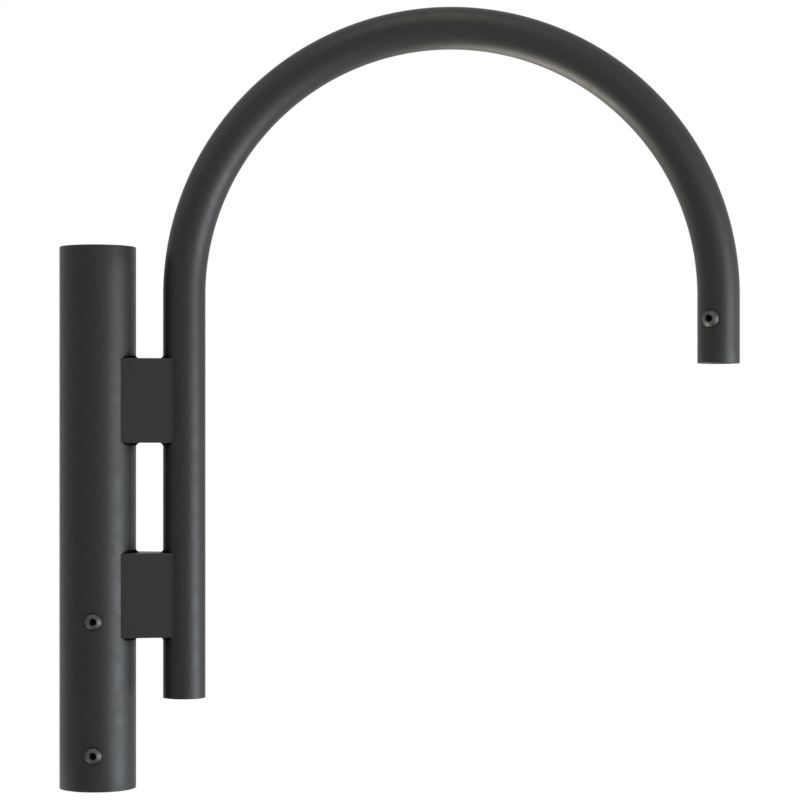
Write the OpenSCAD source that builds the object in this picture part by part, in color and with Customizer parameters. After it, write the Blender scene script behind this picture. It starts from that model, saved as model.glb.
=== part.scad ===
// Lamp bracket: a bent tube arm held beside a slip-over pole sleeve by two saddle blocks.
// The sleeve stands along Z on the plane z = 0, the arm lies to its +X side, the screws face -Y.

/* [Sleeve] */
// Outer diameter of the sleeve tube
sleeve_d = 76.1; // [74:0.1:100]
// Wall of the sleeve tube
sleeve_wall = 3.2; // [2.6:0.1:4]
// Length of the sleeve tube
sleeve_length = 540; // [480:1:700]
// Thickness of the flush end caps
cap_t = 4; // [3:0.5:8]

/* [Pole fit] */
// Bore that slips over the pole's spigot
spigot_bore_d = 61; // [50:0.1:62]
// Length of the reducing liner inside the sleeve
liner_length = 200; // [185:1:260]
// How far the liner sits above the sleeve's lower end
liner_recess = 1.5; // [0:0.1:5]
// Lead-in chamfer at the liner's mouth
liner_lead = 2; // [0.5:0.1:3]
// Thickness of the ring that stops the spigot
stop_t = 5; // [3:0.5:10]
// Hole for the cable in the stop ring
stop_bore_d = 40; // [20:1:48]

/* [Arm] */
// Outer diameter of the arm tube
arm_d = 42.4; // [40:0.1:50]
// Wall of the arm tube
arm_wall = 3.2; // [2.6:0.1:4]
// Clear gap between the sleeve tube and the arm tube
tube_gap = 27.25; // [20:0.05:60]
// Height of the arm's lower end above the sleeve's lower end
arm_foot_z = 90; // [60:1:130]
// Straight length of the arm below the bend
leg_length = 402; // [360:1:600]
// Centreline radius of the half-circle bend
bend_r = 267; // [180:1:400]
// Straight length of the arm past the bend, at the lamp end
tip_length = 68; // [66:1:150]
// Drain hole in the cap at the arm's lower end
drain_d = 8; // [4:0.5:12]

/* [Blocks] */
// Height of each block
block_h = 84; // [50:1:110]
// Height of the lower block's underside above the sleeve's lower end
lower_block_z = 151; // [140:0.5:170]
// Distance from the lower block to the upper block
block_pitch = 193.5; // [150:0.5:220]
// Width of a block where it meets the sleeve
block_sleeve_w = 55.6; // [44:0.1:60]
// Width of a block where it meets the arm
block_arm_w = 37.6; // [28:0.1:37.8]
// Chamfer along the blocks' long edges
block_edge = 1; // [0.3:0.1:2]
// Leg of the fillet welds above and below each block
weld_leg = 3; // [2:0.1:5]

/* [Screws] */
// Thread diameter
screw_d = 10; // [6:1:12]
// Diameter of the button head
head_d = 17.5; // [14:0.1:20]
// Height of the button head
head_h = 5.5; // [4:0.1:7]
// Straight rim under the head's dome
head_rim = 0.5; // [0.3:0.1:1]
// Hexagon socket, across its flats
socket_af = 6; // [4:0.5:7]
// Depth of the hexagon socket
socket_depth = 3.1; // [2:0.1:3.8]
// Depth of the flat that each head sits on, cut into the tube
spot_depth = 0.6; // [0.3:0.1:1]
// Width of the flat that shows around each head
spot_margin = 0.35; // [0.1:0.05:1]
// Height of the lower sleeve screw
lower_screw_z = 36; // [25:0.5:60]
// Depth of the upper sleeve screw below the liner's top
upper_screw_drop = 33.5; // [25:0.5:60]
// Height of the lamp screw above the arm's end
lamp_screw_rise = 44; // [30:0.5:46]
// Turn of the lamp screw from the front towards the sleeve, in degrees
lamp_screw_turn = 30; // [0:1:60]

/* [Lamp fit] */
// Bore that takes the lamp's stem
lamp_bore_d = 27.2; // [20:0.1:28]
// Length of the bush inside the arm's end
lamp_bush_length = 60; // [58:0.5:65]
// How far the bush sits above the arm's end
lamp_bush_recess = 1; // [0:0.1:1]
// Lead-in chamfer at the bush's mouth
lamp_bush_lead = 1.5; // [0.5:0.1:2]

/* [Cable way] */
// Cable hole through the sleeve wall, the upper block and the arm wall
cable_hole_d = 16; // [12:0.5:20]
// Wall of the cable bush in that hole
cable_bush_wall = 1.8; // [1:0.1:2.5]
// Rim that the cable bush has around its hole inside the sleeve
cable_rim_w = 3; // [2:0.1:5]
// Thickness of that rim
cable_rim_t = 1.5; // [1:0.1:3]
// How far the cable bush reaches past the arm's inner wall
cable_bush_reach = 1; // [0.5:0.1:3]

/* [Fits] */
// Clearance around the liner, the caps and the bushes
slide_gap = 0.15; // [0.05:0.01:0.3]
// Clearance around a screw in a tube wall
screw_gap = 0.25; // [0.15:0.05:0.5]
// Clearance that stands for the thread in the liner and the lamp bush
thread_gap = 0.05; // [0.02:0.01:0.1]
// Depth by which a screw's point stays back from the bore
point_back = 0.5; // [0.2:0.1:1]
// Broken edge at every cut tube end
edge_break = 0.5; // [0.2:0.1:1]

/* [Hidden] */
$fn = 96;
// Steps along the half-circle bend and around its tube
bend_steps = 240;
ring_steps = 64;

coat = [0.19, 0.19, 0.20];
coat_dark = [0.15, 0.15, 0.16];
zinc = [0.62, 0.64, 0.66];
screw_steel = [0.42, 0.42, 0.43];
nylon = [0.10, 0.10, 0.10];

sleeve_r = sleeve_d / 2;
sleeve_in_r = sleeve_r - sleeve_wall;
arm_r = arm_d / 2;
arm_in_r = arm_r - arm_wall;

// Places along the sleeve, from its lower end
liner_top = liner_recess + liner_length;
upper_screw_z = liner_top - upper_screw_drop;
upper_block_z = lower_block_z + block_pitch;
cable_z = upper_block_z + block_h / 2;

// Places of the arm
arm_x = sleeve_r + tube_gap + arm_r;
bend_x = arm_x + bend_r;
bend_z = arm_foot_z + leg_length;
tip_x = arm_x + 2 * bend_r;
tip_z = bend_z - tip_length;
lamp_screw_z = tip_z + lamp_screw_rise;

// Blocks: where each flank meets the two tubes, and how far it narrows
flank_x0 = sqrt(pow(sleeve_r, 2) - pow(block_sleeve_w / 2, 2));
flank_x1 = arm_x - sqrt(pow(arm_r, 2) - pow(block_arm_w / 2, 2));
flank_slope = (block_sleeve_w - block_arm_w) / 2 / (flank_x1 - flank_x0);
flank_turn = atan(flank_slope);
// The uncut blank runs on into both tubes, and the saddles are cut from it
blank_over = 3;
// How far the cutters for the long edges run past the flanks
edge_over = 12;

// Screws: the dome's radius, and the lengths from the seat to just short of each bore
dome_r = (pow(head_d / 2, 2) + pow(head_h - head_rim, 2)) / (2 * (head_h - head_rim));
sleeve_seat = sleeve_r - spot_depth;
arm_seat = arm_r - spot_depth;
sleeve_shank = sleeve_seat - spigot_bore_d / 2 - point_back;
lamp_shank = arm_seat - lamp_bore_d / 2 - point_back;
point_bevel = 1;
spot_d = head_d + 2 * spot_margin;

// Cable bush: its rim rests on the inside of the sleeve wall at its two sides
cable_bush_r = cable_hole_d / 2 - slide_gap;
cable_rim_r = cable_hole_d / 2 + cable_rim_w;
cable_rim_x = sqrt(pow(sleeve_in_r, 2) - pow(cable_rim_r, 2)) - slide_gap;
cable_end_x = arm_x - arm_in_r + cable_bush_reach;

// Length by which a cutting tool runs clear of what it cuts
clear = 1;

// A round bar or tube standing on z = 0, with its outer edges broken by low and high
module turned(r_out, r_in, h, low = 0, high = 0) {
    rotate_extrude()
        polygon([
            [r_in, 0], [r_out - low, 0], [r_out, low],
            [r_out, h - high], [r_out - high, h], [r_in, h]
        ]);
}

// The countersink that breaks a bore's edge, opening upwards at z = 0
module lead_in(r, depth) {
    translate([0, 0, -depth])
        cylinder(r1 = r, r2 = r + depth + clear, h = depth + clear);
}

// Turns a tool that points along +Z so that it points out of the front of the sleeve
module at_sleeve_screw(z) {
    translate([0, 0, z])
        rotate([90, 0, 0])
            children();
}

// The same for the lamp screw in the arm's end
module at_lamp_screw() {
    translate([tip_x, 0, lamp_screw_z])
        rotate([90, 0, -lamp_screw_turn])
            children();
}

// Hole through one wall, and the flat seat around it
module screw_cut(hole_d, seat_r) {
    cylinder(d = hole_d, h = seat_r + clear);
    translate([0, 0, seat_r])
        cylinder(d = spot_d, h = spot_depth + clear);
}

// The straight hole that carries the cable from the sleeve into the arm
module cable_way() {
    translate([0, 0, cable_z])
        rotate([0, 90, 0])
            cylinder(d = cable_hole_d, h = arm_x);
}

module sleeve_tube() {
    color(coat)
        difference() {
            turned(sleeve_r, sleeve_in_r, sleeve_length, edge_break, edge_break);
            translate([0, 0, sleeve_length])
                lead_in(sleeve_in_r, edge_break);
            for (z = [lower_screw_z, upper_screw_z])
                at_sleeve_screw(z)
                    screw_cut(screw_d + 2 * screw_gap, sleeve_seat);
            cable_way();
        }
}

// Reducing liner: brings the sleeve down to the spigot's diameter and holds the threads
module sleeve_liner() {
    color(zinc)
        difference() {
            translate([0, 0, liner_recess])
                turned(sleeve_in_r - slide_gap, spigot_bore_d / 2, liner_length,
                    edge_break, edge_break);
            translate([0, 0, liner_recess])
                mirror([0, 0, 1])
                    lead_in(spigot_bore_d / 2, liner_lead);
            for (z = [lower_screw_z, upper_screw_z])
                at_sleeve_screw(z)
                    cylinder(d = screw_d + 2 * thread_gap, h = sleeve_r);
        }
}

// Ring on top of the liner: the pole's spigot stops against it, the cable passes through it
module spigot_stop() {
    color(zinc)
        translate([0, 0, liner_top])
            turned(sleeve_in_r - slide_gap, stop_bore_d / 2, stop_t, edge_break, edge_break);
}

// Flush cap welded into the sleeve's upper end
module top_cap() {
    color(coat)
        translate([0, 0, sleeve_length - cap_t])
            rotate_extrude()
                polygon([
                    [0, 0], [sleeve_in_r - slide_gap, 0],
                    [sleeve_in_r - slide_gap, cap_t - edge_break],
                    [sleeve_in_r - slide_gap - edge_break, cap_t], [0, cap_t]
                ]);
}

// Straight end of the arm, drawn down from the bend, with its open end's outer edge broken
module arm_straight(x, length) {
    translate([x, 0, bend_z])
        mirror([0, 0, 1])
            turned(arm_r, arm_in_r, length, 0, edge_break);
}

// One tube bent to a half circle, with a long leg beside the sleeve and a short lamp end
module arm_tube() {
    color(coat)
        difference() {
            union() {
                arm_straight(arm_x, leg_length);
                arm_straight(tip_x, tip_length);
                translate([bend_x, 0, bend_z])
                    rotate([90, 0, 0])
                        rotate_extrude(angle = 180, $fn = bend_steps)
                            translate([bend_r, 0])
                                difference() {
                                    circle(r = arm_r, $fn = ring_steps);
                                    circle(r = arm_in_r, $fn = ring_steps);
                                }
            }
            translate([arm_x, 0, arm_foot_z])
                mirror([0, 0, 1])
                    lead_in(arm_in_r, edge_break);
            at_lamp_screw()
                screw_cut(screw_d + 2 * screw_gap, arm_seat);
            cable_way();
        }
}

// Flush cap in the arm's lower end, with a hole that drains and vents the tube
module arm_end_cap() {
    cap_r = arm_in_r - slide_gap;
    color(coat)
        translate([arm_x, 0, arm_foot_z])
            turned(cap_r, drain_d / 2, cap_t, edge_break, 0);
}

// Bush inside the lamp end: guides the lamp's stem and holds the lamp screw's thread
module lamp_bush() {
    color(zinc)
        difference() {
            translate([tip_x, 0, tip_z + lamp_bush_recess])
                turned(arm_in_r - slide_gap, lamp_bore_d / 2, lamp_bush_length,
                    edge_break, edge_break);
            translate([tip_x, 0, tip_z + lamp_bush_recess])
                mirror([0, 0, 1])
                    lead_in(lamp_bore_d / 2, lamp_bush_lead);
            at_lamp_screw()
                cylinder(d = screw_d + 2 * thread_gap, h = arm_r);
        }
}

// Plan of a block before its saddles are cut: a trapezium that narrows towards the arm,
// with its flanks moved in by trim
module blank_plan(trim = 0) {
    w0 = block_sleeve_w / 2 + blank_over * flank_slope - trim;
    w1 = block_arm_w / 2 - blank_over * flank_slope - trim;
    x0 = flank_x0 - blank_over;
    x1 = flank_x1 + blank_over;
    polygon([[x0, -w0], [x1, -w1], [x1, w1], [x0, w0]]);
}

// The two long edges of one flank, each cut by one face of a square bar turned on edge
module flank_edges() {
    bar = 4 * block_edge;
    run = flank_x1 - flank_x0 + 2 * edge_over;
    for (side = [0, 1])
        translate([flank_x0, -block_sleeve_w / 2, side * block_h])
            mirror([0, 0, side])
                rotate([45, 0, flank_turn])
                    translate([-edge_over, block_edge / sqrt(2) - bar, -bar / 2])
                        cube([run, bar, bar]);
}

// Block with a saddle for each tube and flanks that run flush from one tube to the other
module saddle_block() {
    difference() {
        linear_extrude(block_h)
            blank_plan();
        translate([0, 0, -clear])
            cylinder(r = sleeve_r, h = block_h + 2 * clear);
        translate([arm_x, 0, -clear])
            cylinder(r = arm_r, h = block_h + 2 * clear);
        flank_edges();
        mirror([0, 1, 0])
            flank_edges();
    }
}

module upper_block() {
    color(coat_dark)
        difference() {
            translate([0, 0, upper_block_z])
                saddle_block();
            cable_way();
        }
}

module lower_block() {
    color(coat_dark)
        translate([0, 0, lower_block_z])
            saddle_block();
}

// Fillet weld on top of a block, along the curve of a tube of radius r
module weld_arc(r) {
    rotate_extrude()
        polygon([[r, 0], [r + weld_leg, 0], [r, weld_leg]]);
}

// The welds above and below a block along one tube, which stands at x, inside its chamfers
module weld_pair(block_z, x, r) {
    for (side = [0, 1])
        translate([0, 0, block_z + side * block_h])
            mirror([0, 0, 1 - side])
                intersection() {
                    translate([x, 0, 0])
                        weld_arc(r);
                    translate([0, 0, -clear])
                        linear_extrude(weld_leg + 2 * clear)
                            blank_plan(block_edge);
                }
}

module upper_block_sleeve_welds() {
    color(coat)
        weld_pair(upper_block_z, 0, sleeve_r);
}

module upper_block_arm_welds() {
    color(coat)
        weld_pair(upper_block_z, arm_x, arm_r);
}

module lower_block_sleeve_welds() {
    color(coat)
        weld_pair(lower_block_z, 0, sleeve_r);
}

module lower_block_arm_welds() {
    color(coat)
        weld_pair(lower_block_z, arm_x, arm_r);
}

// Smooth bush that lines the cable's way through both walls and the upper block
module cable_bush() {
    color(nylon)
        translate([0, 0, cable_z])
            rotate([0, 90, 0])
                difference() {
                    union() {
                        translate([0, 0, cable_rim_x - cable_rim_t])
                            cylinder(r = cable_rim_r, h = cable_rim_t);
                        translate([0, 0, cable_rim_x - cable_rim_t])
                            cylinder(r = cable_bush_r,
                                h = cable_end_x - cable_rim_x + cable_rim_t);
                    }
                    translate([0, 0, cable_rim_x - cable_rim_t - clear])
                        cylinder(r = cable_bush_r - cable_bush_wall, h = cable_end_x);
                }
}

// Button head screw with a hexagon socket, seated at z = 0 with its head above
module button_screw(shank) {
    color(screw_steel)
        difference() {
            union() {
                intersection() {
                    translate([0, 0, head_h - dome_r])
                        sphere(r = dome_r);
                    cylinder(d = head_d, h = head_h + clear);
                }
                translate([0, 0, -shank])
                    rotate_extrude()
                        polygon([
                            [0, 0], [screw_d / 2 - point_bevel, 0], [screw_d / 2, point_bevel],
                            [screw_d / 2, shank + head_rim], [0, shank + head_rim]
                        ]);
            }
            translate([0, 0, head_h - socket_depth])
                cylinder(d = socket_af / cos(30), h = socket_depth + clear, $fn = 6);
        }
}

module upper_sleeve_screw() {
    at_sleeve_screw(upper_screw_z)
        translate([0, 0, sleeve_seat])
            button_screw(sleeve_shank);
}

module lower_sleeve_screw() {
    at_sleeve_screw(lower_screw_z)
        translate([0, 0, sleeve_seat])
            button_screw(sleeve_shank);
}

module lamp_screw() {
    at_lamp_screw()
        translate([0, 0, arm_seat])
            button_screw(lamp_shank);
}

sleeve_tube();
sleeve_liner();
spigot_stop();
top_cap();
arm_tube();
arm_end_cap();
lamp_bush();
upper_block();
lower_block();
upper_block_sleeve_welds();
upper_block_arm_welds();
lower_block_sleeve_welds();
lower_block_arm_welds();
cable_bush();
upper_sleeve_screw();
lower_sleeve_screw();
lamp_screw();
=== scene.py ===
"""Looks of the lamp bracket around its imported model: tubes, blocks, welds, screws, finishes and studio."""

import math

import bmesh
import bpy
from bpy.props import FloatProperty, FloatVectorProperty, PointerProperty
from bpy.types import Operator, Panel, PropertyGroup
from mathutils import Matrix, Vector


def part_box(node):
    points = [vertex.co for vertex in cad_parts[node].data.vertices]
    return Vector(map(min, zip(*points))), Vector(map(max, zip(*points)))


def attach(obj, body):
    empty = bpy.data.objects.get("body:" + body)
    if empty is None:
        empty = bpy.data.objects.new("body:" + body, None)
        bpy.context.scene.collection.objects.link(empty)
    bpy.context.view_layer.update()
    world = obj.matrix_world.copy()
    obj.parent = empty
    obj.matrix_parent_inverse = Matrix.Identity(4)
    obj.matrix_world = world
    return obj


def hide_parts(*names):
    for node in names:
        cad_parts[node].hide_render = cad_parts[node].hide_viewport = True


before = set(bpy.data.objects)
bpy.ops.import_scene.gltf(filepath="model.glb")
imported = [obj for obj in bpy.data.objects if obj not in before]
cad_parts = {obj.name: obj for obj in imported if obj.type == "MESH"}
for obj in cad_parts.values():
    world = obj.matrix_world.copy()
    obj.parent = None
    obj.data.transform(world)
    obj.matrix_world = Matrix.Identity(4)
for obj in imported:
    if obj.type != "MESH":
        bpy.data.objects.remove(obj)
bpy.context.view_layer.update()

bl_info = {
    "name": "Lamp Bracket",
    "version": (1, 0, 0),
    "blender": (4, 5, 0),
    "location": "View3D > Sidebar > Lamp Bracket",
    "description": "Models the swan-neck lamp bracket with its sleeve, arm, saddle blocks, welds and screws",
    "category": "Mesh",
}

# Facets around the round pieces, along the saddles and around the floor
SLEEVE_STEPS = 160
ARM_STEPS = 112
TURNED_STEPS = 96
SCREW_STEPS = 72
SADDLE_STEPS = 28
FLOOR_STEPS = 96

# Facets across a screw's dome, one turn of its thread, a weld bead and a rounded edge
DOME_STEPS = 14
THREAD_STEPS = 10
BEAD_STEPS = 6
ROUND_STEPS = 3

# Rings along the sleeve, the arm's leg, bend and tip, and a weld bead
SLEEVE_RINGS = 20
LEG_RINGS = 20
BEND_RINGS = 200
TIP_RINGS = 4
WELD_RINGS = 90

# Faces that meet at more than these angles shade as an edge, get a rounded edge, or end a block's flank
SHARP_ANGLE = math.radians(36)
ROUND_ANGLE = math.radians(40)
FLANK_ANGLE = math.radians(57)

# Vertices closer than the first become one, and measures that differ by less than the second count as equal
MERGE_GAP = 1e-7
EQUAL_GAP = 1e-5

# A bead's face sinks in by this share of its leg in the middle, and this power hollows it further
BEAD_SINK = 0.30
BEAD_POWER = 1.35

# This power keeps a bead's full size until close to its ends, where at least these shares are left
BEAD_END_POWER = 8
BEAD_LEAST_ROOM = 0.04
BEAD_LEAST_SIZE = 0.03

# A thread's flanks fall by this many thread depths in half a turn, less what is cut off their crests
THREAD_FALL = 1.15
THREAD_CREST = 0.1

# The rounding under a screw's head as a share of its rim, and its socket's chamfer as a share of its width
HEAD_ROUND = 1 / 3
MOUTH_CHAMFER = 1 / 14

# Sets the finishes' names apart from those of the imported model's plain materials
FINISH_PREFIX = "bracket_"

# Patterns in the finishes, as the width of their spots in metres and the number of finer layers in them
COAT_CLOUDS = (0.004, 6.0)
COAT_PATCHES = (0.012, 4.0)
STEEL_RUBS = (0.0018, 4.0)
STEEL_PATCHES = (0.0009, 3.0)
STEEL_GRAIN = (0.0004, 2.0)
ZINC_CRYSTALS = (0.006, 5.0)
ZINC_PATCHES = (0.003, 3.0)
NYLON_CLOUDS = (0.002, 3.0)
NYLON_PATCHES = (0.001, 2.0)
NYLON_GRAIN = (0.0003, 2.0)

# Finer layers in the powder coat's soft waves and in its grain
PEEL_LAYERS = 1.0
GRAIN_LAYERS = 2.0

# Turning marks in the zinc plating, as the inputs of a wave texture
TURNING_MARKS = {"Scale": 420.0, "Distortion": 0.6, "Detail": 1.0}

# Heights of the grain on metal and on nylon, in metres
METAL_GRAIN_HEIGHT = 0.000004
NYLON_GRAIN_HEIGHT = 0.000005

# How far the powder coat's roughness strays to either side, and the range of it on the other finishes
COAT_STRAY = 0.03
STEEL_ROUGHNESS = (0.50, 0.58)
ZINC_ROUGHNESS = (0.34, 0.46)
NYLON_ROUGHNESS = (0.45, 0.55)

# How many times brighter the nylon's pale spots are
NYLON_PALE = 1.6

# Most of a noise lies between these values
NOISE_LOW, NOISE_HIGH = 0.35, 0.65

# A corner is darkest where no more than this share of it is open, and there the painted corner shade leaves
# the finishes these shares of their colour
TIGHT_CORNER = 0.7
COAT_IN_PAINTED_SHADE = 0.0
STEEL_IN_PAINTED_SHADE = 0.05

# The soft boxes: degrees to the right of the front, degrees above level, and which of the studio's tones
SOFT_BOXES = {
    "key": (60, -4, "cool_tone"),
    "low": (75, -20, "cool_tone"),
    "top": (0, 66, "warm_tone"),
    "fill": (-72, 42, "warm_tone"),
    "rim": (-120, -50, "warm_tone"),
    "back": (-160, -50, "warm_tone"),
}

# Each soft box stands at this distance from this point, and is this wide, in metres
LAMP_TARGET = (0.3, 0, 0.4)
LAMP_DISTANCE = 2.6
LAMP_WIDTH = 1.2

# The camera's sensor in millimetres, and the nearest and the furthest that it sees in metres
SENSOR_WIDTH = 36.0
NEAREST, FURTHEST = 0.01, 100.0

WHITE = (1, 1, 1, 1)

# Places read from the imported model, in metres
SLEEVE_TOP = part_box("sleeve_tube")[1]
ARM_LOW, ARM_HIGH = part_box("arm_tube")
CAP_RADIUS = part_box("top_cap")[1].x
FOOT_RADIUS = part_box("arm_end_cap")[1].y
BLOCK_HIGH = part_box("upper_block")[1]
SCREW_LOW, SCREW_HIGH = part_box("upper_sleeve_screw")


def distance(name, description, default):
    """A length in metres that the user may change."""
    return FloatProperty(
        name=name, description=description, default=default, min=0.0, precision=5,
        subtype="DISTANCE", unit="LENGTH",
    )


def share(name, description, default):
    """A number from 0 to 1 that the user may change."""
    return FloatProperty(
        name=name, description=description, default=default, min=0.0, max=1.0, subtype="FACTOR"
    )


def tint(name, description, default):
    """A colour that the user may change."""
    return FloatVectorProperty(
        name=name, description=description, default=default, size=3, min=0.0, max=1.0, subtype="COLOR"
    )


def turn(name, description, degrees):
    """An angle that the user may change."""
    return FloatProperty(
        name=name, description=description, default=math.radians(degrees), subtype="ANGLE", unit="ROTATION"
    )


def power(name, description, watts):
    """The power of a lamp."""
    return FloatProperty(
        name=name, description=description, default=watts, min=0.0, subtype="POWER", unit="POWER"
    )


class LAMPBRACKET_PG_tubes(PropertyGroup):
    """Sizes of the sleeve, the arm and what sits in their ends."""

    sleeve_radius: distance("Sleeve Radius", "Outer radius of the sleeve tube", SLEEVE_TOP.x)
    sleeve_height: distance("Sleeve Height", "Length of the sleeve tube", SLEEVE_TOP.z)
    sleeve_wall: distance("Sleeve Wall", "Wall of the sleeve tube", 0.0032)
    arm_radius: distance("Arm Radius", "Outer radius of the arm tube", ARM_HIGH.y)
    arm_wall: distance("Arm Wall", "Wall of the arm tube", 0.0032)
    tip_length: distance("Tip Length", "Straight length of the arm at the lamp end", 0.068)
    end_round: distance("End Round", "Rounding of the cut tube ends under the coat", 0.0005)
    pole_bore: distance("Pole Bore", "Radius of the bore that takes the pole's spigot", 0.0305)
    pole_lead: distance("Pole Lead-in", "Chamfer at the mouth of the pole bore", 0.002)
    lamp_bore: distance("Lamp Bore", "Radius of the bore that takes the lamp's stem", 0.0136)
    lamp_lead: distance("Lamp Lead-in", "Chamfer at the mouth of the lamp bore", 0.0015)
    drain_radius: distance("Drain Radius", "Radius of the drain hole in the arm's lower cap", 0.004)
    cable_radius: distance("Cable Hole Radius", "Radius of the hole through the walls and the block", 0.008)


class LAMPBRACKET_PG_blocks(PropertyGroup):
    """Sizes of the saddle blocks and their welds."""

    sleeve_width: distance("Width at Sleeve", "Width of a block where it meets the sleeve", BLOCK_HIGH.y * 2)
    arm_width: distance("Width at Arm", "Width of a block where it meets the arm", 0.0376)
    edge_round: distance("Edge Round", "Rounding of the blocks' long edges", 0.001)
    weld_leg: distance("Weld Leg", "Leg of the fillet welds", 0.003)
    ripple_pitch: distance("Ripple Pitch", "Distance from one ripple of a weld to the next", 0.0017)
    ripple_height: share("Ripple Height", "Depth of the ripples as a share of the weld", 0.07)


class LAMPBRACKET_PG_screws(PropertyGroup):
    """Sizes of the button head screws and their seats."""

    head_radius: distance("Head Radius", "Radius of the button head", (SCREW_HIGH.x - SCREW_LOW.x) / 2)
    head_height: distance("Head Height", "Height of the button head", 0.0055)
    head_rim: distance("Head Rim", "Straight rim under the dome", 0.0005)
    socket_width: distance("Socket Width", "Hexagon socket across its flats", 0.006)
    socket_depth: distance("Socket Depth", "Depth of the hexagon socket", 0.0031)
    thread_radius: distance("Thread Radius", "Outer radius of the thread", 0.005)
    thread_pitch: distance("Thread Pitch", "Distance from one turn of the thread to the next", 0.0015)
    thread_depth: distance("Thread Depth", "Depth of the thread", 0.0009)
    hole_gap: distance("Hole Gap", "Clearance around a screw in a tube wall", 0.00025)
    seat_depth: distance("Seat Depth", "Depth of the flat that a head sits on", 0.0006)
    seat_margin: distance("Seat Margin", "Width of the flat that shows around a head", 0.00035)
    point_back: distance("Point Back", "How far a screw's point stays back from the bore", 0.0005)
    lamp_turn: turn("Lamp Screw Turn", "Turn of the lamp screw from the front towards the sleeve", 30)


class LAMPBRACKET_PG_finishes(PropertyGroup):
    """Colours and textures of the finishes."""

    coat_dark: tint("Coat Dark", "Darker tone of the powder coat", (0.0095, 0.0095, 0.0095))
    coat_light: tint("Coat Light", "Lighter tone of the powder coat", (0.0130, 0.0130, 0.0128))
    coat_roughness: share("Coat Roughness", "Roughness of the powder coat", 0.5)
    coat_gloss: share("Coat Gloss", "Specular level of the powder coat", 0.28)
    weld_gloss: share("Weld Gloss", "Specular level of the powder coat over the welds", 0.0)
    peel_size: distance("Peel Size", "Width of the powder coat's soft waves", 0.0016)
    peel_height: distance("Peel Height", "Height of the powder coat's soft waves", 0.000012)
    grain_size: distance("Grain Size", "Width of the powder coat's fine grain", 0.00045)
    grain_height: distance("Grain Height", "Height of the powder coat's fine grain", 0.000006)
    # Reach of the shade painted into the finishes' colour in corners
    hollow_reach: distance("Hollow Reach", "How far a corner's darkening reaches over the finish", 0.012)
    screw_tone: tint("Screw Tone", "Plating of the screws", (0.050, 0.050, 0.050))
    screw_worn: tint("Screw Worn", "Plating of the screws where it is rubbed", (0.066, 0.066, 0.065))
    zinc_tone: tint("Zinc Tone", "Zinc plating of the liner and the bush", (0.42, 0.43, 0.45))
    zinc_pale: tint("Zinc Pale", "Paler crystals in the zinc plating", (0.55, 0.56, 0.58))
    nylon_tone: tint("Nylon Tone", "Nylon of the cable bush", (0.02, 0.02, 0.02))


class LAMPBRACKET_PG_studio(PropertyGroup):
    """Camera, lamps and floor."""

    camera_x: distance("Camera X", "Sideways place of the camera", 0.3021)
    camera_distance: distance("Camera Distance", "Distance of the camera from the sleeve's axis", 2.5)
    camera_height: distance("Camera Height", "Height of the camera above the sleeve's lower end", 0.345)
    lens_mm: FloatProperty(name="Lens", description="Focal length of the camera", default=112.53)
    shift_up: share("Shift Up", "Upward shift of the picture, as a share of its width", 0.0529)
    floor_drop: distance("Floor Drop", "Depth of the floor below the sleeve's lower end", 2.4)
    floor_radius: distance("Floor Radius", "Radius of the floor", 14.0)
    floor_glow: share("Floor Glow", "How much of the floor the camera sees as white, in its middle", 0.5)
    fade_start: distance("Fade Start", "How far from its middle the floor starts to fade to white", 0.7)
    fade_end: distance("Fade End", "How far from its middle the floor is white", 1.6)
    floor_tone: tint("Floor Tone", "Colour of the floor", (0.85, 0.85, 0.85))
    room_tone: tint("Room Tone", "Colour of the light that fills the room", (1.0, 0.99, 0.97))
    room_strength: share("Room Strength", "Strength of the light that fills the room", 0.2)
    key_power: power("Key Power", "Power of the soft box to the right", 50.0)
    low_power: power("Low Power", "Power of the lower soft box to the right", 70.0)
    top_power: power("Top Power", "Power of the soft box above the camera", 21.0)
    fill_power: power("Fill Power", "Power of the soft box to the left", 8.0)
    rim_power: power("Rim Power", "Power of the low soft box behind, to the left", 72.0)
    back_power: power("Back Power", "Power of the low soft box behind", 50.0)
    cool_tone: tint("Cool Tone", "Colour of the soft boxes to the right", (0.89, 0.95, 1.0))
    warm_tone: tint("Warm Tone", "Colour of the other soft boxes", (1.0, 0.96, 0.82))


def sizes(name):
    """One of the property groups on the scene."""
    return getattr(bpy.context.scene, "lamp_bracket_" + name)


def arm_places(tubes):
    """The axes of the arm's leg and tip along X, and the centre of its bend."""
    leg_x = ARM_LOW.x + tubes.arm_radius
    tip_x = ARM_HIGH.x - tubes.arm_radius
    bend_radius = (tip_x - leg_x) / 2
    bend = Vector((leg_x + bend_radius, 0, ARM_HIGH.z - tubes.arm_radius - bend_radius))
    return leg_x, tip_x, bend


def middle(node):
    """The middle of a CAD node's box."""
    low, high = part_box(node)
    return (low + high) / 2


def edges_of(verts):
    """The edges at these vertices, each once and in a fixed order."""
    return list(dict.fromkeys(e for v in verts for e in v.link_edges))


def ring(bm, centre, radius, steps):
    """A level circle of edges about centre."""
    made = bmesh.ops.create_circle(
        bm, cap_ends=False, segments=steps, radius=radius, matrix=Matrix.Translation(centre)
    )
    return edges_of(made["verts"])


def pull(bm, rim, offset, steps):
    """Extrudes a rim by offset in so many steps, and gives back the last rim."""
    for _ in range(steps):
        grown = bmesh.ops.extrude_edge_only(bm, edges=rim)["geom"]
        verts = [g for g in grown if isinstance(g, bmesh.types.BMVert)]
        bmesh.ops.translate(bm, vec=Vector(offset) / steps, verts=verts)
        known = set(verts)
        rim = [g for g in grown if isinstance(g, bmesh.types.BMEdge) and known.issuperset(g.verts)]
    return rim


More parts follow.
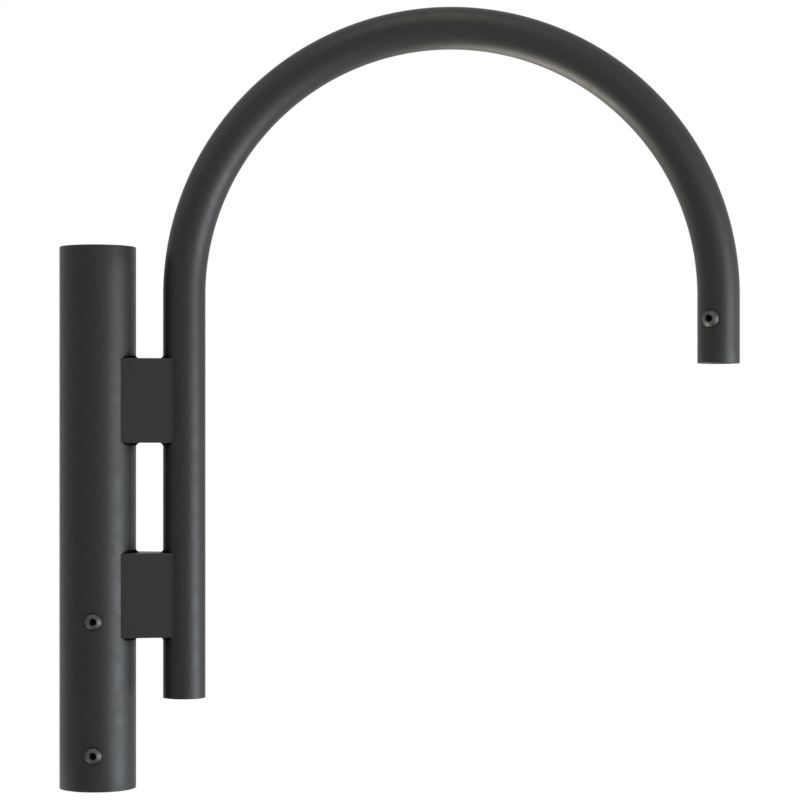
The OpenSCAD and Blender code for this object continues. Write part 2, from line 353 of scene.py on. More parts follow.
def bend_rim(bm, rim, centre, angle, steps):
    """Sweeps a rim about the Y axis through centre, and gives back the last rim."""
    verts = list(dict.fromkeys(v for e in rim for v in e.verts))
    swept = bmesh.ops.spin(
        bm, geom=verts + rim, cent=centre, axis=(0, 1, 0), dvec=(0, 0, 0), angle=angle, steps=steps,
        use_merge=False, use_normal_flip=False, use_duplicate=False,
    )
    return [g for g in swept["geom_last"] if isinstance(g, bmesh.types.BMEdge)]


def lathe(bm, outline, steps, place=None):
    """Turns an outline of (radius, height) points about Z into a solid, then puts it in place."""
    before = set(bm.verts)
    verts = [bm.verts.new((radius, 0, height)) for radius, height in outline]
    ends = [(verts[-1], verts[0])] if outline[0][0] > 0 else []
    edges = [bm.edges.new(pair) for pair in [*zip(verts, verts[1:]), *ends]]
    bmesh.ops.spin(
        bm, geom=verts + edges, cent=(0, 0, 0), axis=(0, 0, 1), dvec=(0, 0, 0), angle=2 * math.pi,
        steps=steps, use_merge=True, use_normal_flip=False, use_duplicate=False,
    )
    made = [v for v in bm.verts if v not in before]
    bmesh.ops.remove_doubles(bm, verts=made, dist=MERGE_GAP)
    made = [v for v in bm.verts if v not in before]
    if place:
        bmesh.ops.transform(bm, matrix=place, verts=made)
    return made


def round_edges(bm, edges, width):
    """Rounds edges off by width."""
    bmesh.ops.bevel(
        bm, geom=edges, offset=width, offset_type="OFFSET", segments=ROUND_STEPS, profile=0.5,
        affect="EDGES", clamp_overlap=True, material=-1, loop_slide=True,
    )


def round_corners(bm, verts, width):
    """Rounds off every edge at these vertices where two faces meet at more than a small angle."""
    bmesh.ops.recalc_face_normals(bm, faces=bm.faces)
    corners = [e for e in edges_of(verts) if e.is_manifold and e.calc_face_angle() > ROUND_ANGLE]
    round_edges(bm, corners, width)


def new_object(bm, name):
    """A new object that holds the bmesh, with its faces turned outwards."""
    bmesh.ops.remove_doubles(bm, verts=bm.verts, dist=MERGE_GAP)
    bmesh.ops.recalc_face_normals(bm, faces=bm.faces)
    mesh = bpy.data.meshes.new(name)
    bm.to_mesh(mesh)
    bm.free()
    made = bpy.data.objects.new(name, mesh)
    bpy.context.scene.collection.objects.link(made)
    return made


def cut(piece, tools):
    """Cuts the tools' bmesh out of a piece, and leaves a plain mesh."""
    tool = new_object(tools, piece.name + "_tool")
    modifier = piece.modifiers.new("cut", "BOOLEAN")
    modifier.operation = "DIFFERENCE"
    modifier.solver = "EXACT"
    modifier.object = tool
    whole = piece.data
    piece.data = bpy.data.meshes.new_from_object(piece.evaluated_get(bpy.context.evaluated_depsgraph_get()))
    piece.modifiers.clear()
    tool_mesh = tool.data
    bpy.data.objects.remove(tool)
    bpy.data.meshes.remove(tool_mesh)
    bpy.data.meshes.remove(whole)


def dress(piece, nodes, material):
    """Shades a piece, gives it its finish and lets it stand for its CAD nodes."""
    piece.data.shade_smooth()
    piece.data.set_sharp_from_angle(angle=SHARP_ANGLE)
    piece.data.materials.clear()
    piece.data.materials.append(material)
    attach(piece, "root")
    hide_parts(*nodes)


def mark_flat(piece, direction, level):
    """Marks as an edge whatever borders the flat seat at this level along direction."""
    bm = bmesh.new()
    bm.from_mesh(piece.data)
    flat = {
        f for f in bm.faces
        if 1 - f.normal.dot(direction) < EQUAL_GAP
        and abs(f.calc_center_median().dot(direction) - level) < EQUAL_GAP
    }
    for e in bm.edges:
        if len([f for f in e.link_faces if f in flat]) == 1:
            e.smooth = False
    bm.to_mesh(piece.data)
    bm.free()


def sleeve_screw_place(height):
    """Points a tool that stands along +Z out of the front of the sleeve."""
    return Matrix.Translation((0, 0, height)) @ Matrix.Rotation(math.radians(90), 4, "X")


def lamp_screw_place(tubes, screws):
    """Points a tool that stands along +Z out of the arm's end, towards the front and the sleeve."""
    _, tip_x, _ = arm_places(tubes)
    turned = Matrix.Rotation(-screws.lamp_turn, 4, "Z") @ Matrix.Rotation(math.radians(90), 4, "X")
    return Matrix.Translation((tip_x, 0, middle("lamp_screw").z)) @ turned


def seat_tool(bm, radius, screws, place):
    """The tool for a screw's hole through one wall and for the flat seat around it."""
    hole = screws.thread_radius + screws.hole_gap
    seat = radius - screws.seat_depth
    wide = screws.head_radius + screws.seat_margin
    reach = radius + 2 * screws.seat_depth
    lathe(bm, [(0, 0), (hole, 0), (hole, seat), (wide, seat), (wide, reach), (0, reach)], SCREW_STEPS, place)


def cable_tool(bm, tubes, low_x, high_x):
    """The tool for the cable hole, from one place along X to another."""
    place = Matrix.Translation((0, 0, middle("cable_bush").z)) @ Matrix.Rotation(math.radians(90), 4, "Y")
    radius = tubes.cable_radius
    lathe(bm, [(0, low_x), (radius, low_x), (radius, high_x), (0, high_x)], SCREW_STEPS, place)


def tube_wall(bm, run, radius, tubes, wall):
    """Makes a run of tube outside and inside, closes its ends to a wall and rounds their edges."""
    outside = run(radius)
    shell = set(bm.faces)
    inside = run(radius - wall)
    bmesh.ops.reverse_faces(bm, faces=[f for f in bm.faces if f not in shell])
    for outer, inner in zip(outside, inside):
        bmesh.ops.bridge_loops(bm, edges=outer + inner)
    round_edges(bm, [e for rim in (*outside, *inside) for e in rim], tubes.end_round)


def build_sleeve(tubes, screws, coat):
    """The sleeve tube, with its screw seats and the cable hole behind the upper block."""
    radius, wall = tubes.sleeve_radius, tubes.sleeve_wall
    bm = bmesh.new()

    def run(around):
        foot = ring(bm, (0, 0, 0), around, SLEEVE_STEPS)
        return foot, pull(bm, foot, (0, 0, tubes.sleeve_height), SLEEVE_RINGS)

    tube_wall(bm, run, radius, tubes, wall)
    sleeve = new_object(bm, "sleeve")
    tools = bmesh.new()
    for node in ("upper_sleeve_screw", "lower_sleeve_screw"):
        seat_tool(tools, radius, screws, sleeve_screw_place(middle(node).z))
    cable_tool(tools, tubes, 0, radius + wall)
    cut(sleeve, tools)
    dress(sleeve, ["sleeve_tube"], coat)
    mark_flat(sleeve, Vector((0, -1, 0)), radius - screws.seat_depth)


def build_arm(tubes, screws, coat):
    """The arm tube, bent to a half circle, with the lamp screw's seat and the cable hole."""
    leg_x, tip_x, bend = arm_places(tubes)
    bm = bmesh.new()

    def run(around):
        foot = ring(bm, (leg_x, 0, ARM_LOW.z), around, ARM_STEPS)
        leg_top = pull(bm, foot, (0, 0, bend.z - ARM_LOW.z), LEG_RINGS)
        bent = bend_rim(bm, leg_top, bend, math.pi, BEND_RINGS)
        return foot, pull(bm, bent, (0, 0, -tubes.tip_length), TIP_RINGS)

    tube_wall(bm, run, tubes.arm_radius, tubes, tubes.arm_wall)
    arm = new_object(bm, "arm")
    tools = bmesh.new()
    seat_tool(tools, tubes.arm_radius, screws, lamp_screw_place(tubes, screws))
    cable_tool(tools, tubes, leg_x - tubes.arm_radius - tubes.arm_wall, leg_x)
    cut(arm, tools)
    dress(arm, ["arm_tube"], coat)
    direction = lamp_screw_place(tubes, screws).to_3x3() @ Vector((0, 0, 1))
    seat = tubes.arm_radius - screws.seat_depth
    mark_flat(arm, direction, seat + direction.dot(Vector((tip_x, 0, 0))))


def build_cap(name, node, x, radius, bore, steps, tubes, coat):
    """A flat round cap with rounded edges and, unless its bore is 0, a hole. It stands for one node."""
    low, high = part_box(node)
    thick = high.z - low.z
    bm = bmesh.new()
    outline = [(bore, 0), (radius, 0), (radius, thick), (bore, thick)]
    made = lathe(bm, outline, steps, Matrix.Translation((x, 0, low.z)))
    round_corners(bm, made, tubes.end_round)
    dress(new_object(bm, name), [node], coat)


def build_caps(tubes, coat):
    """The flush cap in the sleeve's top, and the cap with a drain hole in the arm's foot."""
    leg_x, _, _ = arm_places(tubes)
    drain = tubes.drain_radius
    build_cap("sleeve_cap", "top_cap", 0, CAP_RADIUS, 0, SLEEVE_STEPS, tubes, coat)
    build_cap("arm_foot_cap", "arm_end_cap", leg_x, FOOT_RADIUS, drain, ARM_STEPS, tubes, coat)


def tap_tool(bm, reach, screws, place):
    """The tool for a screw's tapped hole."""
    hole = screws.thread_radius
    lathe(bm, [(0, 0), (hole, 0), (hole, reach), (0, reach)], SCREW_STEPS, place)


def build_liner(name, node, x, bore, lead, taps, tubes, zinc):
    """A turned liner with a lead-in at its mouth and the taps' holes, which stands for one node."""
    low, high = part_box(node)
    outer, edge = high.y, tubes.end_round
    bm = bmesh.new()
    outline = [
        (bore + lead, low.z), (outer - edge, low.z), (outer, low.z + edge),
        (outer, high.z - edge), (outer - edge, high.z), (bore, high.z), (bore, low.z + lead),
    ]
    lathe(bm, outline, TURNED_STEPS, Matrix.Translation((x, 0, 0)))
    liner = new_object(bm, name)
    cut(liner, taps)
    dress(liner, [node], zinc)


def build_inserts(tubes, screws, zinc, nylon):
    """The liner in the sleeve, the bush in the lamp end, and two inner pieces that keep their CAD form."""
    _, tip_x, _ = arm_places(tubes)
    taps = bmesh.new()
    for node in ("upper_sleeve_screw", "lower_sleeve_screw"):
        tap_tool(taps, tubes.sleeve_radius, screws, sleeve_screw_place(middle(node).z))
    build_liner("pole_liner", "sleeve_liner", 0, tubes.pole_bore, tubes.pole_lead, taps, tubes, zinc)
    taps = bmesh.new()
    tap_tool(taps, tubes.arm_radius, screws, lamp_screw_place(tubes, screws))
    build_liner("stem_bush", "lamp_bush", tip_x, tubes.lamp_bore, tubes.lamp_lead, taps, tubes, zinc)
    for node, material in (("spigot_stop", zinc), ("cable_bush", nylon)):
        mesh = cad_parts[node].data
        mesh.materials.clear()
        mesh.materials.append(material)


def flank_line(tubes, blocks):
    """Where a block's flanks start at the sleeve and end at the arm along X, and their slope."""
    leg_x, _, _ = arm_places(tubes)
    start = math.sqrt(tubes.sleeve_radius ** 2 - (blocks.sleeve_width / 2) ** 2)
    end = leg_x - math.sqrt(tubes.arm_radius ** 2 - (blocks.arm_width / 2) ** 2)
    return start, end, (blocks.sleeve_width - blocks.arm_width) / 2 / (end - start)


def saddle_arc(bm, corner, centre, angle):
    """Spins one corner about a tube's axis, and gives back the edges of the arc."""
    before = set(bm.edges)
    bmesh.ops.spin(
        bm, geom=[bm.verts.new(corner)], cent=centre, axis=(0, 0, 1), dvec=(0, 0, 0), angle=angle,
        steps=SADDLE_STEPS, use_merge=False, use_normal_flip=False, use_duplicate=False,
    )
    return [e for e in bm.edges if e not in before]


def build_block(name, node, tubes, blocks, coat):
    """A block with a saddle for each tube and flanks that run flush from one tube to the other."""
    leg_x, _, _ = arm_places(tubes)
    start, end, _ = flank_line(tubes, blocks)
    low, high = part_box(node)
    wide, narrow = blocks.sleeve_width / 2, blocks.arm_width / 2
    sleeve_turn = 2 * math.asin(wide / tubes.sleeve_radius)
    arm_turn = -2 * math.asin(narrow / tubes.arm_radius)
    bm = bmesh.new()
    saddles = saddle_arc(bm, (start, -wide, low.z), (0, 0, low.z), sleeve_turn)
    saddles += saddle_arc(bm, (end, -narrow, low.z), (leg_x, 0, low.z), arm_turn)
    sheet = bmesh.ops.bridge_loops(bm, edges=saddles)["faces"]
    grown = bmesh.ops.extrude_face_region(bm, geom=sheet)["geom"]
    lid = [g for g in grown if isinstance(g, bmesh.types.BMVert)]
    bmesh.ops.translate(bm, vec=(0, 0, high.z - low.z), verts=lid)
    bmesh.ops.recalc_face_normals(bm, faces=bm.faces)
    flanks = [
        e for e in bm.edges
        if e.is_manifold and e.calc_face_angle() > FLANK_ANGLE
        and abs((e.verts[0].co - e.verts[1].co).x) > (end - start) / 2
    ]
    round_edges(bm, flanks, blocks.edge_round)
    block = new_object(bm, name)
    if node == "upper_block":
        tools = bmesh.new()
        cable_tool(tools, tubes, 0, leg_x)
        cut(block, tools)
    dress(block, [node], coat)


def bead_outline(radius, leg):
    """The (radius, height) points around a fillet bead that fills the corner at this radius."""
    outline = [(radius, 0), (radius + leg, 0)]
    for step in range(1, BEAD_STEPS):
        angle = math.radians(90 * step / BEAD_STEPS)
        bulge = leg * (1 - BEAD_SINK * math.sin(2 * angle))
        out, up = math.cos(angle) ** BEAD_POWER, math.sin(angle) ** BEAD_POWER
        outline.append((radius + bulge * out, bulge * up))
    return [*outline, (radius, leg)]


def weld_bead(bm, place, radius, half, slope, blocks):
    """A rippled fillet bead around a tube, on the end face of a block that lies on the tube's +X side.

    It tapers out before the block's flanks. Level with the tube's axis they stand half away from it, and they
    come closer by slope along +X. The place then moves the bead to its own tube and end face.
    """
    leg, lean = blocks.weld_leg, math.atan(slope)
    most = math.asin(half / radius * math.cos(lean)) - lean
    before = set(bm.verts)
    verts = [bm.verts.new((out, 0, up)) for out, up in bead_outline(radius, leg)]
    edges = [bm.edges.new(pair) for pair in [*zip(verts, verts[1:]), (verts[-1], verts[0])]]
    bmesh.ops.rotate(bm, cent=(0, 0, 0), matrix=Matrix.Rotation(-most, 3, "Z"), verts=verts)
    last = bmesh.ops.spin(
        bm, geom=verts + edges, cent=(0, 0, 0), axis=(0, 0, 1), dvec=(0, 0, 0), angle=2 * most,
        steps=WELD_RINGS, use_merge=False, use_normal_flip=False, use_duplicate=False,
    )["geom_last"]
    bmesh.ops.contextual_create(bm, geom=edges)
    bmesh.ops.contextual_create(bm, geom=[g for g in last if isinstance(g, bmesh.types.BMEdge)])
    made = [v for v in bm.verts if v not in before]
    for v in made:
        angle = math.atan2(v.co.y, v.co.x)
        room = half / (math.sin(abs(angle)) + slope * math.cos(angle)) - radius if angle else leg
        fade = math.sqrt(max(0.0, 1 - (abs(angle) / most) ** BEAD_END_POWER))
        taper = fade * min(1.0, max(BEAD_LEAST_ROOM, room / leg))
        wave = math.sin(2 * math.pi * angle * radius / blocks.ripple_pitch)
        size = max(BEAD_LEAST_SIZE, taper) * (1 + blocks.ripple_height * (wave - 1) / 2)
        out = math.hypot(v.co.x, v.co.y) - radius
        scaled = (radius + out * size) / (radius + out)
        v.co = Vector((v.co.x * scaled, v.co.y * scaled, v.co.z * size))
    bmesh.ops.transform(bm, matrix=place, verts=made)


def build_welds(tubes, blocks, coat):
    """The fillet welds above and below each block, along the sleeve and along the arm."""
    leg_x, _, _ = arm_places(tubes)
    start, _, slope = flank_line(tubes, blocks)
    flat_half = blocks.sleeve_width / 2 - blocks.edge_round * math.hypot(1, slope)
    seats = (("sleeve", 0, tubes.sleeve_radius, 1), ("arm", leg_x, tubes.arm_radius, -1))
    for block in ("upper_block", "lower_block"):
        low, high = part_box(block)
        for tube, axis_x, radius, facing in seats:
            half = flat_half + slope * (start - axis_x)
            bm = bmesh.new()
            for level, up in ((low.z, -1), (high.z, 1)):
                place = Matrix.Translation((axis_x, 0, level)) @ Matrix.Diagonal((facing, 1, up, 1))
                weld_bead(bm, place, radius, half, slope * facing, blocks)
            beads = new_object(bm, f"{block}_{tube}_beads")
            dress(beads, [f"{block}_{tube}_welds"], coat)


def cut_thread(verts, screws, shank):
    """Moves the shank's vertices in to the flanks and roots of a thread that runs out at both ends."""
    pitch, radius = screws.thread_pitch, screws.thread_radius
    for v in verts:
        if v.co.z > 0 or math.hypot(v.co.x, v.co.y) < radius - EQUAL_GAP:
            continue
        turns = v.co.z / pitch - math.atan2(v.co.y, v.co.x) / (2 * math.pi)
        root = 1 - abs(2 * (turns - math.floor(turns)) - 1)
        fade = max(0.0, min(1.0, -v.co.z / pitch, (v.co.z + shank) / pitch))
        depth = screws.thread_depth * fade * min(1.0, max(0.0, THREAD_FALL * root - THREAD_CREST))
        v.co.x *= 1 - depth / radius
        v.co.y *= 1 - depth / radius


def cut_socket(screw, dome, screws):
    """Cuts a hexagon socket with a chamfered mouth into the dome, whose radius is given."""
    height, depth = screws.head_height, screws.socket_depth
    chamfer = screws.socket_width * MOUTH_CHAMFER
    corner = screws.socket_width / 2 / math.cos(math.radians(30))
    hexagon = bmesh.new()
    bmesh.ops.create_cone(
        hexagon, cap_ends=True, segments=6, radius1=corner, radius2=corner, depth=2 * depth,
        matrix=Matrix.Translation((0, 0, height)) @ Matrix.Rotation(math.radians(90), 4, "Z"),
    )
    cut(screw, hexagon)
    wide = corner + chamfer
    lip = height - dome + math.sqrt(dome ** 2 - wide ** 2)
    top = lip + chamfer
    mouth = bmesh.new()
    lathe(mouth, [(0, lip - wide), (wide, lip), (wide + chamfer, top), (0, top)], SCREW_STEPS)
    cut(screw, mouth)


def build_screw(name, node, place, seat, shank, screws, steel):
    """A button head screw with a hexagon socket and a thread, seated on its flat."""
    head, height, rim = screws.head_radius, screws.head_height, screws.head_rim
    thread, fine = screws.thread_radius, screws.thread_pitch / THREAD_STEPS
    round_off = rim * HEAD_ROUND
    dome = (head ** 2 + (height - rim) ** 2) / (2 * (height - rim))
    steep = math.asin(head / dome)
    outline = [(0, -shank), (thread - screws.thread_depth, -shank)]
    outline += [(thread, -shank + step * fine) for step in range(1, math.ceil(shank / fine))]
    outline += [(thread, 0), (head - round_off, 0), (head, round_off), (head, rim)]
    for step in range(1, DOME_STEPS):
        angle = steep * (1 - step / DOME_STEPS)
        outline.append((dome * math.sin(angle), height - dome + dome * math.cos(angle)))
    bm = bmesh.new()
    made = lathe(bm, [*outline, (0, height)], SCREW_STEPS)
    cut_thread(made, screws, shank)
    screw = new_object(bm, name)
    cut_socket(screw, dome, screws)
    screw.data.transform(place @ Matrix.Translation((0, 0, seat)))
    dress(screw, [node], steel)


def build_screws(tubes, screws, steel):
    """The two sleeve screws and the lamp screw."""
    sleeve_seat = tubes.sleeve_radius - screws.seat_depth
    sleeve_shank = sleeve_seat - tubes.pole_bore - screws.point_back
    for name, node in (("upper_screw", "upper_sleeve_screw"), ("lower_screw", "lower_sleeve_screw")):
        place = sleeve_screw_place(middle(node).z)
        build_screw(name, node, place, sleeve_seat, sleeve_shank, screws, steel)
    arm_seat = tubes.arm_radius - screws.seat_depth
    arm_shank = arm_seat - tubes.lamp_bore - screws.point_back
    place = lamp_screw_place(tubes, screws)
    build_screw("stem_screw", "lamp_screw", place, arm_seat, arm_shank, screws, steel)


class Finish:
    """A material's node tree, with a short way to add and join its nodes."""

    def __init__(self, name):
        self.material = bpy.data.materials.new(FINISH_PREFIX + name)
        self.material.use_nodes = True
        self.tree = self.material.node_tree
        self.tree.nodes.clear()
        self.shader = self.add("ShaderNodeBsdfPrincipled")
        output = self.add("ShaderNodeOutputMaterial")
        self.join(self.shader.outputs["BSDF"], output.inputs["Surface"])
        self.place = self.add("ShaderNodeTexCoord").outputs["Object"]

    def add(self, kind, **values):
        """A new node with some of its inputs set by name."""
        node = self.tree.nodes.new(kind)
        for name, value in values.items():
            node.inputs[name.replace("_", " ")].default_value = value
        return node

    def join(self, start, end):
        """Links an output to an input."""
        self.tree.links.new(start, end)

    def noise(self, width, layers):
        """Noise whose spots are about this wide, in metres, with so many finer layers in them."""
        node = self.add("ShaderNodeTexNoise", Scale=1 / width, Detail=layers)
        self.join(self.place, node.inputs["Vector"])
        return node.outputs["Fac"]

    def spread(self, value, low, high):
        """Stretches the middle of a noise over a range."""
        node = self.add(
            "ShaderNodeMapRange", From_Min=NOISE_LOW, From_Max=NOISE_HIGH, To_Min=low, To_Max=high
        )
        self.join(value, node.inputs["Value"])
        return node.outputs["Result"]

    def blend(self, value, first, second):
        """A colour that runs from first to second over the middle of a noise."""
        node = self.add("ShaderNodeValToRGB")
        ends = ((NOISE_LOW, first), (NOISE_HIGH, second))
        for element, (position, colour) in zip(node.color_ramp.elements, ends):
            element.position = position
            element.color = (*colour, 1)
        self.join(value, node.inputs["Fac"])
        return node.outputs["Color"]

    def darken(self, colour, reach, kept):
        """A colour that keeps only a share in tight corners, as seen over this reach in metres: painted shade
        from ambient occlusion.
        """
        occlusion = self.add("ShaderNodeAmbientOcclusion", Distance=reach)
        ramp = self.add("ShaderNodeMapRange", From_Min=TIGHT_CORNER, To_Min=kept)
        self.join(occlusion.outputs["AO"], ramp.inputs["Value"])
        node = self.add("ShaderNodeVectorMath")
        node.operation = "SCALE"
        self.join(colour, node.inputs[0])
        self.join(ramp.outputs["Result"], node.inputs["Scale"])
        return node.outputs["Vector"]

    def raise_by(self, value, height, under=None):
        """Bump of this height in metres, on top of another bump."""
        node = self.add("ShaderNodeBump", Strength=1.0, Distance=height)
        self.join(value, node.inputs["Height"])
        if under:
            self.join(under, node.inputs["Normal"])
        return node.outputs["Normal"]


def near_black_paint(name, finishes, gloss):
    """A near-black paint with soft waves, a fine grain, slight cloudiness and painted shade in its corners.
    """
    made = Finish(name)
    shader = made.shader
    shader.inputs["Specular IOR Level"].default_value = gloss
    tone = made.blend(made.noise(*COAT_CLOUDS), finishes.coat_dark, finishes.coat_light)
    # Painted shade: the coat's colour falls to black in tight corners and at the welds
    made.join(made.darken(tone, finishes.hollow_reach, COAT_IN_PAINTED_SHADE), shader.inputs["Base Color"])
    smooth, rough = finishes.coat_roughness - COAT_STRAY, finishes.coat_roughness + COAT_STRAY
    made.join(made.spread(made.noise(*COAT_PATCHES), smooth, rough), shader.inputs["Roughness"])
    waves = made.raise_by(made.noise(finishes.peel_size, PEEL_LAYERS), finishes.peel_height)
    grain = made.raise_by(made.noise(finishes.grain_size, GRAIN_LAYERS), finishes.grain_height, waves)
    made.join(grain, shader.inputs["Normal"])
    return made.material


def powder_coat(finishes):
    """Satin powder coat."""
    return near_black_paint("powder_coat", finishes, finishes.coat_gloss)


def weld_coat(finishes):
    """The powder coat over the welds, which lies dull on their rough skin."""
    return near_black_paint("weld_coat", finishes, finishes.weld_gloss)


def screw_steel(finishes):
    """Dark plated steel, rubbed paler in places, with painted shade darkening its socket and tight corners.
    """
    made = Finish("screw_steel")
    shader = made.shader
    shader.inputs["Metallic"].default_value = 1.0
    tone = made.blend(made.noise(*STEEL_RUBS), finishes.screw_tone, finishes.screw_worn)
    # Painted shade: the steel's colour is darkened in the hexagon socket and other tight corners
    made.join(made.darken(tone, finishes.hollow_reach, STEEL_IN_PAINTED_SHADE), shader.inputs["Base Color"])
    made.join(made.spread(made.noise(*STEEL_PATCHES), *STEEL_ROUGHNESS), shader.inputs["Roughness"])
    made.join(made.raise_by(made.noise(*STEEL_GRAIN), METAL_GRAIN_HEIGHT), shader.inputs["Normal"])
    return made.material


def zinc_plate(finishes):
    """Bright zinc plating with faint crystals and turning marks."""
    made = Finish("zinc_plate")
    shader = made.shader
    shader.inputs["Metallic"].default_value = 1.0
    tone = made.blend(made.noise(*ZINC_CRYSTALS), finishes.zinc_tone, finishes.zinc_pale)
    made.join(tone, shader.inputs["Base Color"])
    made.join(made.spread(made.noise(*ZINC_PATCHES), *ZINC_ROUGHNESS), shader.inputs["Roughness"])
    lines = made.add("ShaderNodeTexWave", **TURNING_MARKS)
    lines.bands_direction = "Z"
    made.join(made.place, lines.inputs["Vector"])
    made.join(made.raise_by(lines.outputs["Fac"], METAL_GRAIN_HEIGHT), shader.inputs["Normal"])
    return made.material


def nylon(finishes):
    """Black nylon with a fine mould grain."""
    made = Finish("nylon")
    shader = made.shader
    pale = [min(1.0, NYLON_PALE * value) for value in finishes.nylon_tone]
    made.join(made.blend(made.noise(*NYLON_CLOUDS), finishes.nylon_tone, pale), shader.inputs["Base Color"])
    made.join(made.spread(made.noise(*NYLON_PATCHES), *NYLON_ROUGHNESS), shader.inputs["Roughness"])
    made.join(made.raise_by(made.noise(*NYLON_GRAIN), NYLON_GRAIN_HEIGHT), shader.inputs["Normal"])
    return made.material


def finish(make):
    """The material that make builds from the finishes' values, built at its first use."""
    return bpy.data.materials.get(FINISH_PREFIX + make.__name__) or make(sizes("finishes"))


def seen_rays(tree):
    """1 for camera rays and for rays in gloss and glass, and 0 for every other ray."""
    path = tree.nodes.new("ShaderNodeLightPath")
    seen = path.outputs["Is Camera Ray"]
    for ray in ("Is Glossy Ray", "Is Transmission Ray"):
        either = tree.nodes.new("ShaderNodeMath")
        either.operation = "MAXIMUM"
        tree.links.new(seen, either.inputs[0])
        tree.links.new(path.outputs[ray], either.inputs[1])
        seen = either.outputs[0]
    return seen


def mixed(tree, share_of_second, first, second):
    """Mixes two shaders."""
    mix = tree.nodes.new("ShaderNodeMixShader")
    tree.links.new(share_of_second, mix.inputs["Fac"])
    tree.links.new(first, mix.inputs[1])
    tree.links.new(second, mix.inputs[2])
    return mix.outputs["Shader"]


def build_world(studio):
    """A dim room light, where the camera sees white."""
    world = bpy.data.worlds.new("studio_room")
    bpy.context.scene.world = world
    world.use_nodes = True
    tree = world.node_tree
    tree.nodes.clear()
    room = tree.nodes.new("ShaderNodeBackground")
    room.inputs["Color"].default_value = (*studio.room_tone, 1)
    room.inputs["Strength"].default_value = studio.room_strength
    white = tree.nodes.new("ShaderNodeBackground")
    white.inputs["Color"].default_value = WHITE
    white.inputs["Strength"].default_value = 1.0
    output = tree.nodes.new("ShaderNodeOutputWorld")
    shown = mixed(tree, seen_rays(tree), room.outputs["Background"], white.outputs["Background"])
    tree.links.new(shown, output.inputs["Surface"])


def build_floor(studio):
    """A plain pale floor that keeps the object's shadow, and fades to white away from it."""
    centre = (studio.camera_x, 0, -studio.floor_drop)
    bm = bmesh.new()
    bmesh.ops.create_circle(
        bm, cap_ends=True, segments=FLOOR_STEPS, radius=studio.floor_radius,
        matrix=Matrix.Translation(centre),
    )
    floor = new_object(bm, "floor")
    paint = bpy.data.materials.new("pale_floor")
    paint.use_nodes = True
    tree = paint.node_tree
    tree.nodes.clear()
    matte = tree.nodes.new("ShaderNodeBsdfDiffuse")
    matte.inputs["Color"].default_value = (*studio.floor_tone, 1)
    white = tree.nodes.new("ShaderNodeEmission")
    white.inputs["Color"].default_value = WHITE
    white.inputs["Strength"].default_value = 1.0
    place = tree.nodes.new("ShaderNodeTexCoord")
    away = tree.nodes.new("ShaderNodeVectorMath")
    away.operation = "DISTANCE"
    away.inputs[1].default_value = centre
    tree.links.new(place.outputs["Object"], away.inputs[0])
    fade = tree.nodes.new("ShaderNodeMapRange")
    fade.interpolation_type = "SMOOTHSTEP"
    fade.inputs["From Min"].default_value = studio.fade_start
    fade.inputs["From Max"].default_value = studio.fade_end
    fade.inputs["To Min"].default_value = studio.floor_glow
    tree.links.new(away.outputs["Value"], fade.inputs["Value"])
    faded = tree.nodes.new("ShaderNodeMath")
    faded.operation = "MULTIPLY"
    tree.links.new(seen_rays(tree), faded.inputs[0])
    tree.links.new(fade.outputs["Result"], faded.inputs[1])
    output = tree.nodes.new("ShaderNodeOutputMaterial")
    shown = mixed(tree, faded.outputs[0], matte.outputs["BSDF"], white.outputs["Emission"])
    tree.links.new(shown, output.inputs["Surface"])
    floor.data.materials.append(paint)


def soft_box(name, bearing, rise, watts, tone):
    """A square soft lamp, so many degrees from the front and above level, that the camera doesn't see."""
    lamp = bpy.data.lights.new(name, "AREA")
    lamp.shape = "SQUARE"
    lamp.size = LAMP_WIDTH
    lamp.energy = watts
    lamp.color = tone
    made = bpy.data.objects.new(name, lamp)
    bpy.context.scene.collection.objects.link(made)
    made.visible_camera = False
    turned = Matrix.Rotation(math.radians(bearing), 3, "Z") @ Matrix.Rotation(-math.radians(rise), 3, "X")
    away = turned @ Vector((0, -1, 0))
    made.location = Vector(LAMP_TARGET) + away * LAMP_DISTANCE
    made.rotation_euler = (-away).to_track_quat("-Z", "Y").to_euler()


def build_camera(studio):
    """The camera at the photograph's viewing angle: level, with the picture shifted up."""
    lens = bpy.data.cameras.new("camera")
    lens.sensor_width = SENSOR_WIDTH
    lens.lens = studio.lens_mm
    lens.shift_y = studio.shift_up
    lens.clip_start = NEAREST
    lens.clip_end = FURTHEST
    camera = bpy.data.objects.new("camera", lens)
    bpy.context.scene.collection.objects.link(camera)
    camera.location = (studio.camera_x, -studio.camera_distance, studio.camera_height)
    camera.rotation_euler = (math.radians(90), 0, 0)
    bpy.context.scene.camera = camera


class LAMPBRACKET_OT_sleeve(Operator):
    """Model the sleeve tube"""

    bl_idname = "lamp_bracket.sleeve"
    bl_label = "Sleeve"

    def execute(self, context):
        build_sleeve(sizes("tubes"), sizes("screws"), finish(powder_coat))
        return {"FINISHED"}


class LAMPBRACKET_OT_arm(Operator):
    """Model the bent arm tube"""

    bl_idname = "lamp_bracket.arm"
    bl_label = "Arm"

    def execute(self, context):
        build_arm(sizes("tubes"), sizes("screws"), finish(powder_coat))
        return {"FINISHED"}


class LAMPBRACKET_OT_caps(Operator):
    """Model the caps in the sleeve's top and the arm's foot"""

    bl_idname = "lamp_bracket.caps"
    bl_label = "Caps"

    def execute(self, context):
        build_caps(sizes("tubes"), finish(powder_coat))
        return {"FINISHED"}


class LAMPBRACKET_OT_inserts(Operator):
    """Model the liner and the bush, and finish the inner pieces"""

    bl_idname = "lamp_bracket.inserts"
    bl_label = "Inserts"

    def execute(self, context):
        build_inserts(sizes("tubes"), sizes("screws"), finish(zinc_plate), finish(nylon))
        return {"FINISHED"}


